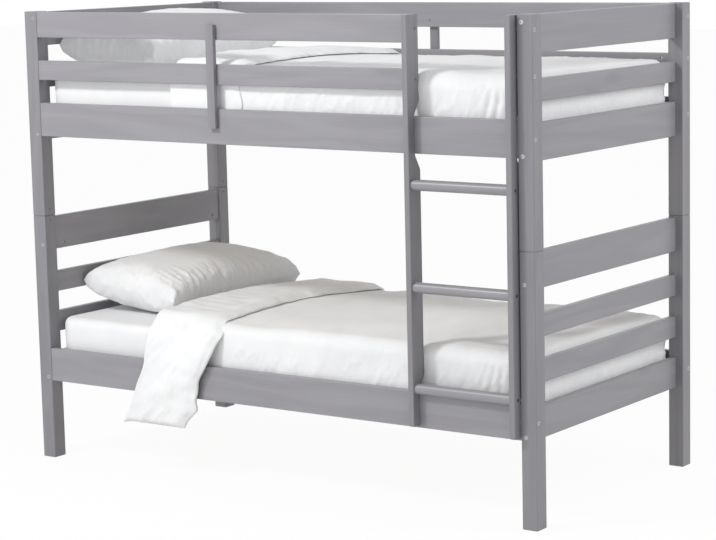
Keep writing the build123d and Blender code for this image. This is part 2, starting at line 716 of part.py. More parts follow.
def pillow_form():
    """Pillow lying flat: full crown in the middle, drawn-in sides and thin ends."""
    wide = PILLOW_W / 2
    thick = PILLOW_T / 2
    waist = wide - PILLOW_DRAW_IN
    half = PILLOW_L / 2
    sections = []
    for share, width, height in (
            (-1.0, wide - PILLOW_DRAW_IN, PILLOW_TIP / 2), (-0.93, wide, thick * 0.27), (-0.7, wide - 4, thick * 0.66),
            (-0.35, waist + 3, thick * 0.94), (0.0, waist, thick), (0.35, waist + 3, thick * 0.94),
            (0.7, wide - 4, thick * 0.66), (0.93, wide, thick * 0.27), (1.0, wide - PILLOW_DRAW_IN, PILLOW_TIP / 2)):
        sections.append(lens(share * half, width, height))
    return loft(sections)


def pillow(bed):
    """Pillow that leans back on the left end boards and rests on the mattress."""
    form = Rot(0, PILLOW_TILT, 0) * pillow_form()
    box = form.bounding_box()
    x = -END_IN + PILLOW_HEAD_GAP - box.min.X
    z = MATTRESS_Z[bed] + MATTRESS_T + SEAT_CLEAR - box.min.Z
    y = LOWER_PILLOW_Y if bed == "lower" else UPPER_PILLOW_Y
    return Pos(x, y, z) * form


def duvet_section(x, bed, lift, puff):
    """Section across the bed: tucked sides, round shoulders and a crowned top."""
    top = MATTRESS_Z[bed] + MATTRESS_T
    foot = MATTRESS_Z[bed] + DUVET_TUCK_UP
    out = MATTRESS_Y + DUVET_SIDE_T
    shoulder_y = out - DUVET_ROUND * 2
    shoulder_z = top + DUVET_SHOULDER + lift
    side_z = shoulder_z - DUVET_ROUND * 1.8
    bow_y = out - DUVET_ROUND * 0.55
    bow_z = shoulder_z - DUVET_ROUND * 0.45
    outline = [
        Line((-out, foot), (out, foot)), Line((out, foot), (out, side_z)),
        ThreePointArc((out, side_z), (bow_y, bow_z), (shoulder_y, shoulder_z)),
        ThreePointArc((shoulder_y, shoulder_z), (0, top + DUVET_CROWN + lift + puff), (-shoulder_y, shoulder_z)),
        ThreePointArc((-shoulder_y, shoulder_z), (-bow_y, bow_z), (-out, side_z)), Line((-out, side_z), (-out, foot))]
    return Plane(origin=(x, 0, 0), x_dir=(0, 1, 0), z_dir=(1, 0, 0)) * make_face(outline)


def duvet_cover(bed, start, end, lift, puffs):
    """Length of duvet lofted through its sections, before the mattress is cut out."""
    step = (end - start) / (len(puffs) - 1)
    return loft([duvet_section(start + step * number, bed, lift, puff) for number, puff in enumerate(puffs)])


def tail_slice(z, left):
    """Level slice of the hanging tail: flat against the rail, waved in front."""
    back = -RAIL_OUT - TAIL_OFF_RAIL
    front = back - TAIL_T + TAIL_WAVE
    step = TAIL_W / TAIL_WAVES
    outline = [Line((left, front), (left, back)), Line((left, back), (left + TAIL_W, back)),
               Line((left + TAIL_W, back), (left + TAIL_W, front))]
    for number in range(TAIL_WAVES):
        x = left + TAIL_W - step * number
        outline.append(ThreePointArc((x, front), (x - step / 2, front - TAIL_WAVE), (x - step, front)))
    return Plane(origin=(0, 0, z)) * make_face(outline)


def tail():
    """Corner of the turned-down duvet that hangs over the front rail."""
    left = LOWER_DUVET_X - HALF_L + 4
    top = LOWER_RAIL_TOP + TAIL_OFF_RAIL
    fall = top - TAIL_FOOT_Z
    slices = [tail_slice(TAIL_FOOT_Z + fall * share, left - TAIL_LEAN * fall * (1 - share))
              for share in (0.0, 0.35, 0.7, 1.0)]
    drop = loft(slices)
    out = -RAIL_OUT - TAIL_OFF_RAIL - TAIL_T + TAIL_WAVE
    inside = -MATTRESS_Y
    high = MATTRESS_Z["lower"] + MATTRESS_T
    outline = [Line((out, top), (inside, top)), Line((inside, top), (inside, high)),
               ThreePointArc((inside, high), (out + 22, top + (high - top) * 0.55), (out, top))]
    bridge = Plane(origin=(left, 0, 0), x_dir=(0, 1, 0), z_dir=(1, 0, 0)) * make_face(outline)
    return drop + extrude(bridge, TAIL_W, dir=(1, 0, 0))


def mattress_room(bed):
    """Space that the mattress takes inside the duvet."""
    z = MATTRESS_Z[bed]
    x = MATTRESS_X + SEAT_CLEAR
    y = MATTRESS_Y + SEAT_CLEAR
    return block((-x, x), (-y, y), (z, z + MATTRESS_T + SEAT_CLEAR))


def duvet(bed):
    """Duvet drawn over the mattress and tucked in, the lower one turned down with a hanging tail."""
    left = (LOWER_DUVET_X if bed == "lower" else UPPER_DUVET_X) - HALF_L
    right = MATTRESS_X - DUVET_FOOT_GAP
    body = duvet_cover(bed, left, right, 0, (0, 5, -3, 4, 0, 3, -4))
    band = duvet_cover(bed, left, left + DUVET_BAND, DUVET_FOLD, (-8, 0, -8))
    cover = body + band
    if bed == "lower":
        cover = cover + tail()
    return cover - mattress_room(bed)


def main():
    """Write every node of the bed."""
    os.makedirs("parts", exist_ok=True)
    for bed in ("lower", "upper"):
        for end, end_word in ((-1, "left"), (1, "right")):
            for side, side_word in ((-1, "front"), (1, "back")):
                save(f"{bed}_post_{side_word}_{end_word}", [post(bed, end, side)])
        save(f"{bed}_slat_ledges", ledges(bed))
        save(f"{bed}_slats", slats(bed))
        save(f"{bed}_frame_bolts", frame_bolts(bed))
        save(f"{bed}_barrel_nuts", barrel_nuts(bed))
        save(f"{bed}_dowels", dowels(bed))
        save(f"{bed}_slat_and_ledge_screws", slat_and_ledge_screws(bed))
        save(f"{bed}_mattress", [mattress(bed)])
        save(f"{bed}_pillow", [pillow(bed)])
        save(f"{bed}_duvet", [duvet(bed)])
    for name in SIDE_BOARDS:
        save(name, [side_board(name)])
    for name in END_BOARDS:
        save(name, [end_board(name)])
    save("ladder_left_stile", [stile(LEFT_STILE_X)])
    save("ladder_right_stile", [stile(RIGHT_STILE_X)])
    for number, word in enumerate(("lower", "middle", "upper")):
        save(f"ladder_{word}_rung", [rung(number)])
    save("ladder_spacers", spacers())
    save("front_guard_strut", [strut(-1, FRONT_STRUT_X - HALF_L)])
    save("back_guard_strut", [strut(1, 0.0)])
    screws = rung_screws() + guard_screws() + strut_screws() + stile_screws()
    save("guard_and_ladder_screws", [wood_screw(*place) for place in screws])
    save("joining_pins", joining_pins())
    save("pin_grub_screws", grub_screws(JOINT_Z - GRUB_BELOW, 0))
    save("lock_grub_screws", grub_screws(JOINT_Z + GRUB_ABOVE, GRUB_BACK_OFF))


main()
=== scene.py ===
# %% [markdown]
# # Dressing a bunk bed
#
# The CAD model of the bed is a fixed frame. Every board, bolt and slat is already in its place, in
# metres, with the floor at z = 0. This file adds what the eye needs: a camera, studio light, paint with
# wood grain under it, and bedding that looks like cloth. Most cells print what they made, so a reader can
# follow along.

# %% Frame
import math

import bpy
import numpy as np
from mathutils import Matrix, Vector


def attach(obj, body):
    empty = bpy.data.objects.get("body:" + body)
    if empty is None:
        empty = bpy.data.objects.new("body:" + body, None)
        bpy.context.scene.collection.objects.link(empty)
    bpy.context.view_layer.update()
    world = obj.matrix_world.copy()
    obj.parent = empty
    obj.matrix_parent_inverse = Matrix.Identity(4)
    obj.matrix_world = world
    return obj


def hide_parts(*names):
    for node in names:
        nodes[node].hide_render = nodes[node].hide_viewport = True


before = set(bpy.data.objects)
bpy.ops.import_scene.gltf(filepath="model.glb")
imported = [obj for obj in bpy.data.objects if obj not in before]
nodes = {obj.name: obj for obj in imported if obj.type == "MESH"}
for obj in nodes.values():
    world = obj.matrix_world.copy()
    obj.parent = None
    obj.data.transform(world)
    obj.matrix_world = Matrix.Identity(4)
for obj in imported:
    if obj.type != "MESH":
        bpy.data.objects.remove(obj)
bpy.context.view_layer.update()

# %% [markdown]
# ## Camera
#
# The picture of the bed was taken from the front right, a little above the upper mattress. The heading,
# tilt and roll below are turned into the three axes of a camera: one to its right, one up, and one back
# towards the viewer. Blender's cameras look along their own -Z, so those three axes are the columns of
# its rotation.

# %% Camera
PICTURE_W = 716
FOCAL_PX = 2235.1
CENTRE_PX = 430.0
SENSOR = 36.0
HEADING, TILT, ROLL = 0.59189, 0.14974, -0.01855
CAMERA_AT = (4.3993, -6.0882, 1.7898)


def aim(heading, tilt, roll):
    """Rotation of a camera. Heading turns the view to the left of +Y, tilt lowers it, roll turns it."""
    level = math.cos(tilt)
    ahead = np.array([-math.sin(heading) * level, math.cos(heading) * level, -math.sin(tilt)])
    right = np.array([math.cos(heading), math.sin(heading), 0.0])
    up = np.cross(right, ahead)
    turned_right = math.cos(roll) * right + math.sin(roll) * up
    turned_up = math.cos(roll) * up - math.sin(roll) * right
    return Matrix(np.column_stack([turned_right, turned_up, -ahead]).tolist())


camera_data = bpy.data.cameras.new("camera")
camera_data.sensor_width = SENSOR
camera_data.lens = FOCAL_PX * SENSOR / PICTURE_W
camera_data.shift_x = (PICTURE_W / 2 - CENTRE_PX) / PICTURE_W
camera = bpy.data.objects.new("camera", camera_data)
camera.matrix_world = Matrix.Translation(CAMERA_AT) @ aim(HEADING, TILT, ROLL).to_4x4()
bpy.context.scene.collection.objects.link(camera)
bpy.context.scene.camera = camera
print("lens", round(camera_data.lens, 1), "mm, shift", round(camera_data.shift_x, 3))

# %% [markdown]
# ## Shader sums
#
# A material in Blender is a graph of nodes. Drawing the graph by hand takes many clicks, and written out
# node by node it is hard to read. Here a small class wraps one socket, so that `1 - mask * 0.4` adds the
# Math nodes by itself. Every other kind of node comes from `make`, which sets the node's own settings
# first and its sockets after.


# %% Shader sums
class Wire:
    """One socket of a material's node tree, used like a number."""

    def __init__(self, tree, socket=None):
        self.tree = tree
        self.socket = socket

    def make(self, kind, settings=None, inputs=None, out=0):
        """Add a node of that kind and give one of its outputs."""
        node = self.tree.nodes.new("ShaderNode" + kind)
        for name, value in (settings or {}).items():
            if name == "stops":
                ramp = node.color_ramp
                while len(ramp.elements) < len(value):
                    ramp.elements.new(0.5)
                for element, (at, colour) in zip(ramp.elements, value):
                    element.position = at
                    element.color = (*colour, 1.0)
            else:
                setattr(node, name, value)
        for name, value in (inputs or {}).items():
            if isinstance(value, Wire):
                self.tree.links.new(value.socket, node.inputs[name])
            else:
                node.inputs[name].default_value = value
        return Wire(self.tree, node.outputs[out])

    def maths(self, operation, other=0.0):
        """A Math node on this value and another."""
        return self.make("Math", {"operation": operation}, {0: self, 1: other})

    def __add__(self, other):
        return self.maths("ADD", other)

    def __sub__(self, other):
        return self.maths("SUBTRACT", other)

    def __rsub__(self, other):
        return self.make("Math", {"operation": "SUBTRACT"}, {0: other, 1: self})

    def __mul__(self, other):
        return self.maths("MULTIPLY", other)

    __radd__, __rmul__ = __add__, __mul__

    def between(self, low, high):
        """0 below low, 1 above high, and a smooth step in between."""
        return self.make("MapRange", {"interpolation_type": "SMOOTHSTEP"}, {"Value": self, 1: low, 2: high})

    def tint(self, dark, light):
        """Colour that goes from dark at 0 to light at 1."""
        return self.make("Mix", {"data_type": "RGBA"}, {0: self, 6: (*dark, 1.0), 7: (*light, 1.0)}, out=2)


def new_material(name):
    """An empty material: its wire, its main shader and its output link."""
    material = bpy.data.materials.new(name)
    material.use_nodes = True
    tree = material.node_tree
    shader = tree.nodes["Principled BSDF"]
    return material, Wire(tree), shader


def connect(wire, shader, socket):
    """Lead a wire into a socket of the shader."""
    wire.tree.links.new(wire.socket, shader.inputs[socket])


def fixed(shader, values):
    """Set sockets that are the same all over the surface."""
    for socket, value in values.items():
        shader.inputs[socket].default_value = value


def relief(shader, height, strength, distance):
    """A Bump node on a height, led into the shader's normal."""
    bump = height.make("Bump", None, {"Strength": strength, "Distance": distance, "Height": height})
    connect(bump, shader, "Normal")


print("shader sums ready")

# %% [markdown]
# ## Painted pine
#
# The bed is pine under satin grey paint. Paint hides the wood's colour, but not its surface: the hard
# summer lines stand a few hundredths of a millimetre proud, so under a low light the grain can still be
# read, and the paint pools a little darker between the lines. The grain runs along each board. There is
# one pattern in object coordinates, stretched along x, y or z, and each board takes the version of its
# own direction. The boards lie apart in space, so no two of them show the same piece of the pattern.
# The three versions also carry painted light and shade: the boards along x are painted a little lighter,
# the end boards along y a hair darker, and the upright parts along z clearly darker, for how the light
# falls on them.

# %% Grain
ALONG = {"x": 0, "y": 1, "z": 2}
GREY, GREY_DARK = (0.290, 0.284, 0.304), (0.228, 0.222, 0.241)
# Painted light and shade by direction: the paint colour is scaled a little lighter along x, a hair darker along
# y and clearly darker along z, on the upright posts, stiles and strut, for how the light falls on them.
PAINTED_LIGHT_AND_SHADE = {"x": 1.03, "y": 0.98, "z": 0.86}
# Size of the patterns, in cells per metre across the board and along it.
RING_CELLS, PORE_CELLS, KNOT_CELLS, CLOUD_CELLS = (9.0, 0.9), (260.0, 5.0), (4.2, 1.5), (3.0, 1.2)
RING_BEND, RINGS_PER_CELL = 0.35, 34.0
KNOT_EDGE = (0.03, 0.11)


def stretched(wire, way, across, along):
    """Object coordinates, finer across the board than along it."""
    scale = [across] * 3
    scale[ALONG[way]] = along
    place = wire.make("TexCoord", out=3)
    return wire.make("Mapping", None, {"Vector": place, "Scale": scale})


def noise(wire, place, scale=1.0, detail=3.0, rough=0.5, bend=0.0):
    """Smooth random value round one half."""
    return wire.make("TexNoise", None, {"Vector": place, "Scale": scale, "Detail": detail, "Roughness": rough,
                                        "Distortion": bend})


def grain(wire, way):
    """Growth lines: bands of a slow noise across the board, bent by a slower one, with fine pores on top."""
    slow = noise(wire, stretched(wire, way, *RING_CELLS), detail=2.0, rough=0.45, bend=RING_BEND)
    rings = (slow * RINGS_PER_CELL).maths("SINE") * 0.5 + 0.5
    streaks = noise(wire, stretched(wire, way, *PORE_CELLS), detail=4.0, rough=0.62)
    return rings, streaks


def knots(wire, way):
    """A few oval knots, a hand's length or more apart."""
    place = stretched(wire, way, *KNOT_CELLS)
    cells = wire.make("TexVoronoi", {"feature": "F1"}, {"Vector": place, "Scale": 1.0})
    return 1 - cells.between(*KNOT_EDGE)


print("grain runs along", list(ALONG))


# %% Paint
RING_TONE, STREAK_TONE, CLOUD_TONE, KNOT_TONE = 0.22, 0.46, 0.34, 0.30
RING_HEIGHT, STREAK_HEIGHT, KNOT_HEIGHT = 0.35, 0.65, 0.5
TONE_ENDS = (0.05, 0.95)
PAINT_ROUGH, PAINT_ROUGH_SHARE = 0.30, 0.10
PAINT_RELIEF = (0.22, 0.0008)
PAINT_COAT = {"Coat Weight": 0.12, "Coat Roughness": 0.25}


def painted_pine(way):
    """Satin paint: grey made lighter or darker by direction as painted light and shade, a hint of grain in the
    colour, more of it in the gloss and the surface.
    """
    material, wire, shader = new_material("grey_paint_" + way)
    # Both ends of the grey are scaled by the direction's painted light and shade.
    dark, light = (tuple(part * PAINTED_LIGHT_AND_SHADE[way] for part in grey) for grey in (GREY_DARK, GREY))
    rings, streaks = grain(wire, way)
    knot = knots(wire, way)
    cloud = noise(wire, stretched(wire, way, *CLOUD_CELLS), detail=2.0)
    tone = rings * RING_TONE + streaks * STREAK_TONE + cloud * CLOUD_TONE - knot * KNOT_TONE
    connect(tone.between(*TONE_ENDS).tint(dark, light), shader, "Base Color")
    connect(streaks * PAINT_ROUGH_SHARE + cloud * PAINT_ROUGH_SHARE + PAINT_ROUGH, shader, "Roughness")
    relief(shader, rings * RING_HEIGHT + streaks * STREAK_HEIGHT - knot * KNOT_HEIGHT, *PAINT_RELIEF)
    fixed(shader, PAINT_COAT)
    return material


paint = {way: painted_pine(way) for way in ALONG}
print("paint:", [material.name for material in paint.values()])

# %% [markdown]
# ## Bare wood and steel
#
# The slats and their ledges are planed pine without paint, warm and dry. The dowels are a plain hardwood.
# Bolts, nuts and pins are zinc plate: a metal whose gloss changes in small patches, as crystals of zinc
# do. The small screws of the ladder are duller, so they don't stand out from the paint.

# %% Bare wood and steel
PINE_LIGHT, PINE_DARK = (0.72, 0.60, 0.44), (0.58, 0.44, 0.29)
BEECH_LIGHT, BEECH_DARK = (0.66, 0.47, 0.30), (0.50, 0.33, 0.20)
ZINC_LIGHT, ZINC_DARK = (0.52, 0.52, 0.53), (0.40, 0.40, 0.415)
SCREW_LIGHT, SCREW_DARK = (0.34, 0.34, 0.36), (0.26, 0.26, 0.275)
WOOD_RINGS, WOOD_STREAKS, WOOD_KNOTS = 0.55, 0.45, 0.85
WOOD_ENDS = (-0.25, 0.85)
WOOD_ROUGH, WOOD_ROUGH_SHARE = 0.48, 0.16
WOOD_RELIEF, WOOD_RING_HEIGHT = (0.25, 0.0006), 0.4
ZINC_CELLS = 900.0
ZINC_ROUGH, ZINC_ROUGH_SHARE = 0.22, 0.16


def bare_wood(name, way, light, dark):
    """Planed wood: late-wood lines and knots in the colour, a dry surface."""
    material, wire, shader = new_material(name)
    rings, streaks = grain(wire, way)
    knot = knots(wire, way)
    tone = rings * WOOD_RINGS + streaks * WOOD_STREAKS - knot * WOOD_KNOTS
    connect(tone.between(*WOOD_ENDS).tint(dark, light), shader, "Base Color")
    connect(streaks * WOOD_ROUGH_SHARE + WOOD_ROUGH, shader, "Roughness")
    relief(shader, streaks + rings * WOOD_RING_HEIGHT, *WOOD_RELIEF)
    return material


def plated(name, light, dark):
    """Plated steel: metal with patches of a slightly different gloss."""
    material, wire, shader = new_material(name)
    place = wire.make("TexCoord", out=3)
    patches = wire.make("TexVoronoi", {"feature": "F1"}, {"Vector": place, "Scale": ZINC_CELLS}, out=1)
    grey = wire.make("SeparateColor", None, {0: patches})
    connect(grey * ZINC_ROUGH_SHARE + ZINC_ROUGH, shader, "Roughness")
    connect(grey.tint(dark, light), shader, "Base Color")
    fixed(shader, {"Metallic": 1.0})
    return material


pine = {way: bare_wood("bare_pine_" + way, way, PINE_LIGHT, PINE_DARK) for way in "xy"}
beech = bare_wood("dowel_wood", "x", BEECH_LIGHT, BEECH_DARK)
zinc = plated("zinc_steel", ZINC_LIGHT, ZINC_DARK)
dull_zinc = plated("dull_screw_steel", SCREW_LIGHT, SCREW_DARK)
print("woods:", pine["x"].name, beech.name, "metal:", zinc.name)


# %% Finishes of the CAD nodes
def finish_of(name):
    """Material of a rigid node, from what it is and the way its grain runs."""
    if "dowels" in name:
        return beech
    if "guard_and_ladder_screws" in name:
        return dull_zinc
    if any(word in name for word in ("bolts", "nuts", "screws", "pins", "spacers")):
        return zinc
    if "slats" in name:
        return pine["y"]
    if "ledges" in name:
        return pine["x"]
    if any(word in name for word in ("post", "stile", "strut")):
        return paint["z"]
    if "_end_" in name:
        return paint["y"]
    return paint["x"]


soft_nodes = [name for name in nodes if name.endswith(("mattress", "pillow", "duvet"))]
for name, node in nodes.items():
    if name not in soft_nodes:
        node.data.materials.clear()
        node.data.materials.append(finish_of(name))
print("rigid nodes finished:", len(nodes) - len(soft_nodes))

# %% [markdown]
# ## White cotton
#
# Sheets and covers are plain white percale. Its threads are a third of a millimetre wide, far below one
# pixel here, but close up the weave is what tells cloth from plaster. Two crossed waves give it, in
# object coordinates, so it doesn't need an unwrapped surface. A broad, faint noise keeps the white from
# being one flat value, and a little sheen lifts the edges as fine fibres do.

# %% Cotton
THREAD = 0.0007
COTTON_LIGHT, COTTON_DARK = (0.815, 0.82, 0.826), (0.77, 0.776, 0.786)
SLUB_CELLS, SHADE_CELLS = 420.0, 7.0
SHADE_ENDS = (0.25, 0.75)
COTTON_ROUGH_SPREAD = 0.12
COTTON_RELIEF, THREAD_HEIGHT = (0.12, 0.0004), 0.16
COTTON_SHEEN = {"Sheen Weight": 0.15, "Sheen Roughness": 0.4}


def cotton(name, knit=1.0, rough=0.82):
    """Plain weave: one wave for each of the three directions, so that any face shows two of them."""
    material, wire, shader = new_material(name)
    place = wire.make("TexCoord", out=3)
    parts = wire.make("SeparateXYZ", None, {0: place})
    turn = 2 * math.pi / (THREAD * knit)
    threads = 0.0
    for out in range(3):
        axis = Wire(wire.tree, parts.socket.node.outputs[out])
        threads = (axis * turn).maths("SINE") + threads
    slub = noise(wire, place, SLUB_CELLS)
    shade = noise(wire, place, SHADE_CELLS)
    connect(shade.between(*SHADE_ENDS).tint(COTTON_DARK, COTTON_LIGHT), shader, "Base Color")
    connect(slub * COTTON_ROUGH_SPREAD + (rough - COTTON_ROUGH_SPREAD / 2), shader, "Roughness")
    relief(shader, threads * THREAD_HEIGHT + slub, *COTTON_RELIEF)
    fixed(shader, COTTON_SHEEN)
    return material


linen_white = cotton("white_cotton")
cover_white = cotton("mattress_cover", 1.6, 0.86)
print("cotton thread:", THREAD * 1000, "mm")

# %% [markdown]
# ## Wrinkles from sums of waves
#
# Cloth that is pulled or pushed folds into ridges that run across the push. A sum of many cosine waves
# with random directions near one heading gives a smooth field of such ridges. The field's zero lines
# become the sharp crests of wrinkles when it is turned over: one minus its size. Every draw comes from a
# seeded generator, so each run is equal.


# %% Wrinkles
CREST, CREASE_MEAN = 1.3, 0.3


def waves(u, v, length_u, length_v, seed, count=14):
    """Smooth random field, about -1 to 1: cosines with wavelengths spread round length_u and length_v."""
    draw = np.random.default_rng(seed)
    ku = draw.normal(0, 1, count) * 2 * math.pi / length_u
    kv = draw.normal(0, 1, count) * 2 * math.pi / length_v
    phase = draw.uniform(0, 2 * math.pi, count)
    field = np.cos(np.multiply.outer(u, ku) + np.multiply.outer(v, kv) + phase).sum(-1)
    return field / math.sqrt(count / 2)


def swells(u, v, sizes, seed):
    """Sum of wave fields, one for each pair of lengths and height, with the seed counted up."""
    return sum(waves(u, v, *lengths, seed + number) * height
               for number, (*lengths, height) in enumerate(sizes))


def creases(u, v, length_u, length_v, seed):
    """Sharp ridges: one minus the size of the smooth field, squared to narrow them, with mean near 0."""
    field = np.abs(np.tanh(waves(u, v, length_u, length_v, seed) * CREST))
    return (1 - field) ** 2 - CREASE_MEAN


def step(value, low, high):
    """Smooth step from 0 at low to 1 at high: three t squared minus two t cubed."""
    t = np.clip((value - low) / (high - low), 0, 1)
    return t * t * (3 - 2 * t)


def bell(value, centre, width):
    """Bump of height 1 round the centre, by the normal curve."""
    return np.exp(-(((value - centre) / width) ** 2))


print("field range:", np.round(np.ptp(waves(np.linspace(0, 1, 500), np.zeros(500), 0.1, 1.0, 1)), 2))

# %% [markdown]
# ## From numbers to a mesh
#
# A surface is a grid of points worked out as whole arrays. A closed piece of cloth has an outer grid and
# an inner one, sewn together along their four borders. The faces of the outer grid turn outwards and
# those of the inner grid inwards.


# %% Mesh makers
def grid_faces(rows, columns, first=0, flip=False):
    """Four-cornered faces of a grid of rows by columns points."""
    index = first + np.arange(rows * columns).reshape(rows, columns)
    quads = np.stack([index[:-1, :-1], index[1:, :-1], index[1:, 1:], index[:-1, 1:]], -1).reshape(-1, 4)
    return quads[:, ::-1] if flip else quads


def border(rows, columns):
    """Point numbers round the edge of a grid, in order."""
    index = np.arange(rows * columns).reshape(rows, columns)
    return np.concatenate([index[0, :-1], index[:-1, -1], index[-1, :0:-1], index[:0:-1, 0]])


def mesh_piece(name, points, quads, body, slot, material, levels=0):
    """A smooth mesh object from points and four-cornered faces, riding on a body."""
    mesh = bpy.data.meshes.new(name)
    mesh.vertices.add(len(points))
    mesh.vertices.foreach_set("co", points.astype(np.float32).ravel())
    mesh.loops.add(quads.size)
    mesh.loops.foreach_set("vertex_index", quads.astype(np.int32).ravel())
    mesh.polygons.add(len(quads))
    mesh.polygons.foreach_set("loop_start", np.arange(0, quads.size, 4, dtype=np.int32))
    mesh.polygons.foreach_set("use_smooth", np.ones(len(quads), bool))
    mesh.update(calc_edges=True)
    mesh.validate()
    mesh.materials.append(material)
    piece = bpy.data.objects.new(name, mesh)
    bpy.context.scene.collection.objects.link(piece)
    if levels:
        soften = piece.modifiers.new("soften", "SUBSURF")
        soften.levels = soften.render_levels = levels
    if body:
        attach(piece, body)
    return piece


def shell(outer, inner):
    """Points and faces of a closed sheet of cloth, from its outer and inner grids of the same size."""
    rows, columns = outer.shape[:2]
    count = rows * columns
    points = np.concatenate([outer.reshape(-1, 3), inner.reshape(-1, 3)])
    ring = border(rows, columns)
    after = np.roll(ring, -1)
    rim = np.stack([ring, after, after + count, ring + count], -1)
    quads = np.concatenate([grid_faces(rows, columns), grid_faces(rows, columns, count, True), rim])
    return points, quads


print("mesh makers ready")

# %% [markdown]
# ## A cover pulled over a block
#
# A fitted sheet, a mattress and a tucked-in duvet share one form: flat on top, round at the shoulders,
# straight down the sides. Imagine a flat cloth laid over a box with rounded corners. A point that is
# further out than the flat part has its extra length laid first round the shoulder and then down the
# side. At a corner of the box the extra of both directions is turned round the corner, which is where
# real cloth has too much width and falls into pleats.


# %% Cover over a block
def cover(s, t, half, corner, shoulder):
    """Cloth laid over a rounded block, centred on 0. Gives plan x and y, the drop from the top, and d.

    The part of (s, t) past the flat middle is a length d. Up to corner - shoulder it lies flat, then it follows
    a quarter circle of the shoulder's radius, then it hangs straight. At a corner the two extras are turned
    round it.
    """
    flat_x, flat_y = half[0] - corner, half[1] - corner
    over_x, over_y = np.maximum(np.abs(s) - flat_x, 0), np.maximum(np.abs(t) - flat_y, 0)
    d = np.maximum(over_x, over_y)
    safe = np.maximum(d, 1e-9)
    turn = np.where(over_y < over_x, over_y / safe, 2 - over_x / safe) * math.pi / 4
    angle = np.clip((d - (corner - shoulder)) / shoulder, 0, math.pi / 2)
    out = np.minimum(d, corner - shoulder) + shoulder * np.sin(angle)
    hang = np.maximum(d - (corner - shoulder) - shoulder * math.pi / 2, 0)
    x = np.sign(s) * (np.minimum(np.abs(s), flat_x) + out * np.cos(turn) * (d > 0))
    y = np.sign(t) * (np.minimum(np.abs(t), flat_y) + out * np.sin(turn) * (d > 0))
    return x, y, shoulder * (1 - np.cos(angle)) + hang, d


def cover_length(fall, corner, shoulder):
    """Length of cloth from the edge of the flat part down to a fall below the top."""
    return corner - shoulder + shoulder * math.pi / 2 + fall - shoulder


def normals(points):
    """Unit normals of a grid: the cross product of its two slopes."""
    across = np.cross(np.gradient(points, axis=0), np.gradient(points, axis=1))
    return across / np.maximum(np.linalg.norm(across, axis=-1, keepdims=True), 1e-12)


def steps(low, high, size):
    """Even steps of about that size from low to high."""
    return np.linspace(low, high, max(2, round((high - low) / size) + 1))


print("drop of 150 mm takes", round(cover_length(0.15, 0.05, 0.02), 3), "m of cloth")

# %% [markdown]
# ## Mattresses
#
# Each mattress is a firm foam block, 190 by 90 by 15 cm, in a white fitted sheet. The foam crowns a
# little, and the sheet is drawn tight over it and tucked under, so it wrinkles only low on its sides and
# round the corners. The upper surface is the cover of the last cell, and the underside closes it as a
# slightly smaller copy drawn to the middle.

# %% Mattresses
CENTRE_Y = 0.009
MATTRESS_HALF = (0.948, 0.4580)
MATTRESS_THICK = 0.150
MATTRESS_FOOT = {"lower": 0.344, "upper": 1.196}
MATTRESS_TOP = {bed: foot + MATTRESS_THICK for bed, foot in MATTRESS_FOOT.items()}
MATTRESS_CORNER, MATTRESS_SHOULDER, MATTRESS_HEM = 0.050, 0.024, 0.014
MATTRESS_CROWN = 0.003
MATTRESS_STEP = 0.011
MATTRESS_SEEDS = {"lower": 11, "upper": 18}
LONGER = 0.5
# Wrinkles and sag: two lengths, and a height.
LONG_TUCK, SHORT_TUCK, SAG = (0.16, 0.35, 0.0022), (0.075, 0.30, 0.0016), (0.9, 0.6, 0.0007)
SHORT_TUCK_LEAN, SHORT_TUCK_SINK = 0.6, 0.3
TUCK_LIMIT = 0.0004
UNDER_X, UNDER_Y = 0.99, 0.98


def mattress(bed, seed):
    """Fitted sheet over foam: a cover, crowned on top, wrinkled in on its sides, and a flat underside."""
    block = (MATTRESS_HALF, MATTRESS_CORNER, MATTRESS_SHOULDER)
    fall = cover_length(MATTRESS_THICK - MATTRESS_HEM, MATTRESS_CORNER, MATTRESS_SHOULDER)
    reach = [half - MATTRESS_CORNER + fall for half in MATTRESS_HALF]
    s, t = np.meshgrid(*(steps(-end, end, MATTRESS_STEP) for end in reach), indexing="ij")
    x, y, down, d = cover(s, t, *block)
    rise = MATTRESS_CROWN * (1 - (x / MATTRESS_HALF[0]) ** 2) * (1 - (y / MATTRESS_HALF[1]) ** 2)
    points = np.stack([x, y + CENTRE_Y, MATTRESS_TOP[bed] - MATTRESS_CROWN + rise - down], -1)
    low = step(d, MATTRESS_CORNER, fall)
    around = np.where(np.abs(s) > np.abs(t) + LONGER, t, s)
    *lengths, height = LONG_TUCK
    tucks = creases(around, d, *lengths, seed) * height * low
    *lengths, height = SHORT_TUCK
    tucks += (creases(around + d * SHORT_TUCK_LEAN, d, *lengths, seed + 1) - SHORT_TUCK_SINK) * height * low
    sag = swells(x, y, [SAG], seed + 2)
    points = points + normals(points) * (sag + np.minimum(tucks, TUCK_LIMIT))[..., None]
    share = np.maximum(np.maximum(np.abs(s) / reach[0], np.abs(t) / reach[1]), 1e-9)
    rim_x, rim_y, _, _ = cover(s / share, t / share, *block)
    level = np.full_like(x, MATTRESS_FOOT[bed])
    under = np.stack([rim_x * share * UNDER_X, rim_y * share * UNDER_Y + CENTRE_Y, level], -1)
    piece = mesh_piece(bed + "_mattress_in_sheet", *shell(points, under), bed + "_bedding", "mattress_cover",
                       cover_white)
    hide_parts(bed + "_mattress")
    return piece


mattresses = {bed: mattress(bed, seed) for bed, seed in MATTRESS_SEEDS.items()}
print(len(mattresses), "mattresses, tops at", [round(top, 3) for top in MATTRESS_TOP.values()], "m")

# %% [markdown]
# ## Pillows
#
# A pillow is two flat panels sewn together round their edge and stuffed. Blown up, the flat panels can't
# stay flat: the long seams draw in, the corners stay pointed, and short gathers run in from the seam.
# That is hard to draw and easy to simulate, so the panels become a Cloth with pressure inside. The
# gravity is off, because the pillow is leaned and pressed down afterwards by moving its points.

